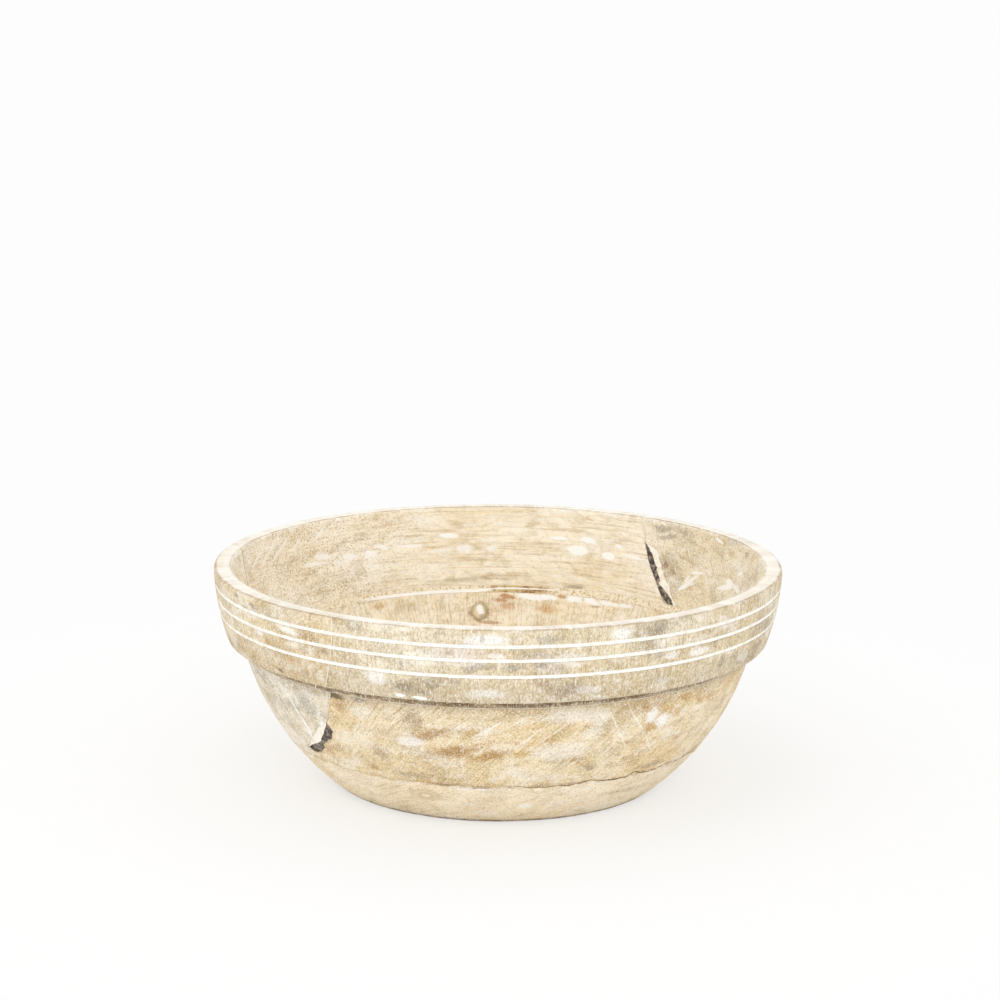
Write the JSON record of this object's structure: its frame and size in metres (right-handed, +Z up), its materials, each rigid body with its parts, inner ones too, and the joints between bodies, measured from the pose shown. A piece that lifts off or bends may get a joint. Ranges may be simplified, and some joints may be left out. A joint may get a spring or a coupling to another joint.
{
  "type": "dough bowl",
  "caption": "Round turned wooden dough bowl with a proud rim band, white filled lines round the band and a flat foot, glued up from boards.",
  "frame": {"origin": "centre of the flat foot, on the surface that the bowl stands on", "axes": "+Z up along the bowl's turning axis, -Y towards the viewer of the picture, +X to the viewer's right"},
  "size_m": [0.2998, 0.2998, 0.116],
  "materials": {
    "base_wood": "whitewashed, sanded wood",
    "wall_wood": "whitewashed, sanded wood",
    "wall_side_wood": "whitewashed, sanded wood",
    "rim_wood": "whitewashed, sanded wood",
    "rim_left_wood": "whitewashed, sanded wood",
    "rim_right_wood": "whitewashed, sanded wood",
    "glue": "cured wood glue, stained dark",
    "white_filler": "chalky white filler",
    "dark_resin": "dark, sunken resin"
  },
  "bodies": {
    "root": {"base_board": "base_wood", "wall_main_block": "wall_wood", "wall_side_block": "wall_side_wood", "rim_front_block": "rim_wood", "rim_back_block": "rim_wood", "rim_left_block": "rim_left_wood", "rim_right_block": "rim_right_wood", "base_glue_line": "glue", "course_glue_line": "glue", "wall_joint_glue": "glue", "rim_left_glue": "glue", "rim_right_glue": "glue", "line_fill_upper": "white_filler", "line_fill_middle": "white_filler", "line_fill_lower": "white_filler", "seam_filler": "white_filler", "rim_gap_resin": "dark_resin", "rim_gap_putty": "white_filler", "wall_gap_resin": "dark_resin", "wall_gap_putty": "white_filler"}
  },
  "joints": []
}
